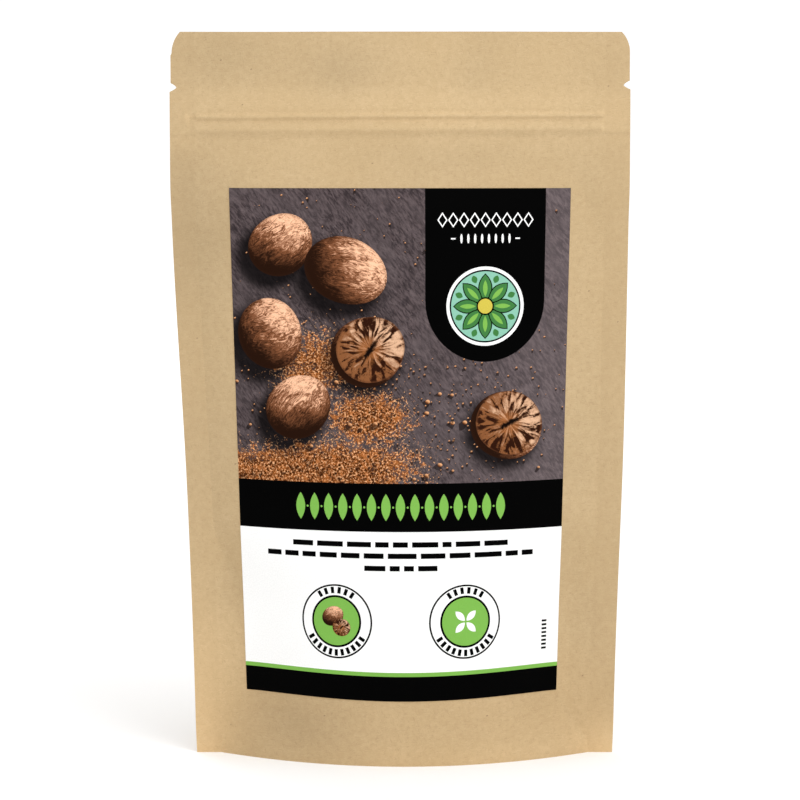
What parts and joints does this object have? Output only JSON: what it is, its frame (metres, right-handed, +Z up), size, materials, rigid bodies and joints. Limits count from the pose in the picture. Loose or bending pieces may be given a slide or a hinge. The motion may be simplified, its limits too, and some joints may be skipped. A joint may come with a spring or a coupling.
{
  "type": "kraft stand-up pouch of whole nutmegs",
  "caption": "Shut kraft paper stand-up pouch of whole nutmegs, with a zip band, tear notches, side seals, a gusseted base and a printed paper label on the front.",
  "frame": {"origin": "on the ground under the middle of the standing pouch", "axes": "+Z up; the front with the label looks along -Y; +X is to the pouch's right as the front is seen"},
  "size_m": [0.13, 0.0436, 0.2064],
  "materials": {
    "kraft_film": "matt brown kraft paper with fine fibres",
    "label_paper": "smooth coated label paper with a printed design"
  },
  "bodies": {
    "root": {"pouch": "kraft_film", "label": "label_paper"}
  },
  "joints": []
}
